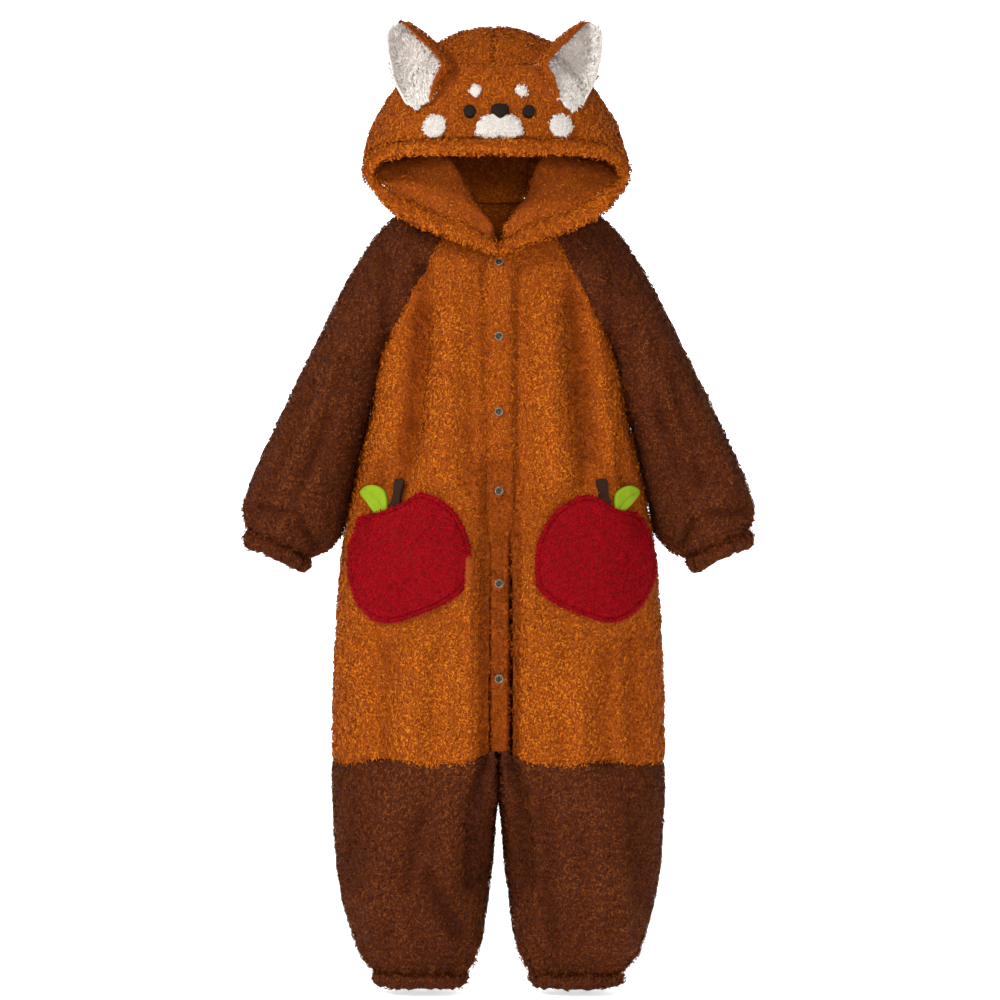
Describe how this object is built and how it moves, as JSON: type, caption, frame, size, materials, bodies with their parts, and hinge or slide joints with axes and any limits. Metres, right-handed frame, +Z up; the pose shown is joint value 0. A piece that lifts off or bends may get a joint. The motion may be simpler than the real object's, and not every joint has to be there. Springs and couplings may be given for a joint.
{
  "type": "hooded animal costume onesie",
  "caption": "Hooded fleece costume onesie for a child, with animal ears and face on the hood, a buttoned front, gathered cuffs and apple patch pockets.",
  "frame": {"origin": "between the shoulders, level with the base of the neck, where the wearer's shoulders hold the garment", "axes": "+Z up to the hood, -Y to the buttoned front, +X to the side that lies at the right when the front is looked at"},
  "size_m": [0.6728, 0.2667, 1.2703],
  "materials": {
    "orange_fleece": "curly pile fleece, matt",
    "brown_fleece": "curly pile fleece, matt",
    "white_plush": "long plush, matt",
    "dark_plush": "short pile, matt",
    "red_plush": "short velvet pile, soft sheen",
    "green_felt": "felt, matt",
    "brown_felt": "felt, matt",
    "button_metal": "satin"
  },
  "bodies": {
    "root": {"front_left": "orange_fleece", "front_right": "orange_fleece", "back": "orange_fleece", "button_band": "orange_fleece", "hood_face": "orange_fleece", "hood_crown_left": "orange_fleece", "hood_crown_right": "orange_fleece", "hood_side_left": "orange_fleece", "hood_side_right": "orange_fleece", "hood_hem": "orange_fleece", "neck_tape": "orange_fleece", "ear_back_left": "orange_fleece", "ear_back_right": "orange_fleece", "yoke_left": "brown_fleece", "yoke_right": "brown_fleece", "sleeve_left": "brown_fleece", "sleeve_right": "brown_fleece", "wrist_cuff_left": "brown_fleece", "wrist_cuff_right": "brown_fleece", "lower_leg_left": "brown_fleece", "lower_leg_right": "brown_fleece", "ankle_cuff_left": "brown_fleece", "ankle_cuff_right": "brown_fleece", "ear_lining_left": "white_plush", "ear_lining_right": "white_plush", "brow_left": "white_plush", "brow_right": "white_plush", "cheek_left": "white_plush", "cheek_right": "white_plush", "muzzle": "white_plush", "eye_left": "dark_plush", "eye_right": "dark_plush", "nose": "dark_plush", "pocket_left": "red_plush", "pocket_right": "red_plush", "leaf_left": "green_felt", "leaf_right": "green_felt", "stem_left": "brown_felt", "stem_right": "brown_felt", "button_1": "button_metal", "button_2": "button_metal", "button_3": "button_metal", "button_4": "button_metal", "button_5": "button_metal", "button_6": "button_metal"}
  },
  "joints": []
}
